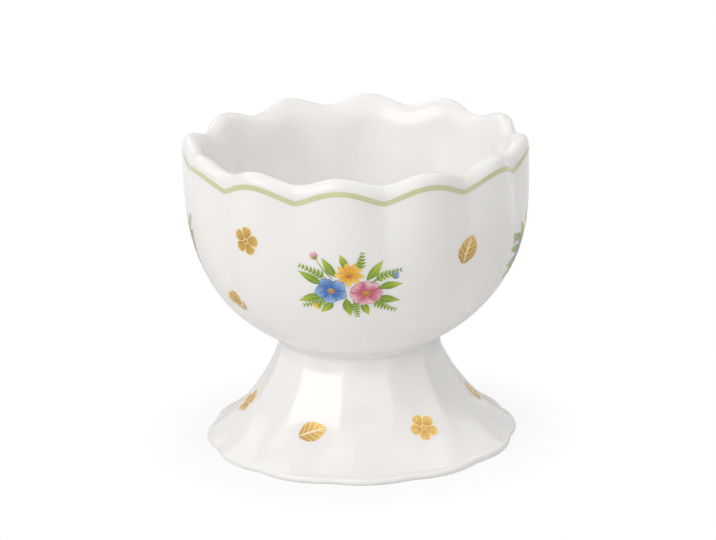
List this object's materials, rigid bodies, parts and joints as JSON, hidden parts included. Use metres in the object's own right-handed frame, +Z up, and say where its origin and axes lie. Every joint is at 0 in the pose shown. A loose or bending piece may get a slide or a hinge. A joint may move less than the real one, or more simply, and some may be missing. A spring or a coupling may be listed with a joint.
{
  "type": "egg cup",
  "caption": "Porcelain egg cup: a lobed bowl with a waved lip on a flared, fluted hollow foot, with a green line under the lip and small floral and gold transfers.",
  "frame": {"origin": "on the table under the middle of the foot, at the lowest point of the cup", "axes": "+Z up along the cup's axis, -Y to the front with the front floral spray, +X to the right"},
  "size_m": [0.0582, 0.0582, 0.0526],
  "materials": {
    "bowl_glaze": "clear gloss glaze over white porcelain",
    "foot_glaze": "clear gloss glaze over white porcelain, bare and matt on the standing ring",
    "slip": "porcelain slip under the same clear glaze",
    "green_enamel": "soft green on-glaze line, fired glossy",
    "spray_enamel": "many-coloured on-glaze transfer, fired glossy",
    "gold_enamel": "ochre gold on-glaze transfer, satin"
  },
  "bodies": {
    "root": {"bowl": "bowl_glaze", "foot": "foot_glaze", "slip_joint": "slip", "rim_line": "green_enamel", "spray_front": "spray_enamel", "spray_right": "spray_enamel", "spray_back": "spray_enamel", "spray_left": "spray_enamel", "gold_motifs_bowl": "gold_enamel", "gold_motifs_foot": "gold_enamel"}
  },
  "joints": []
}
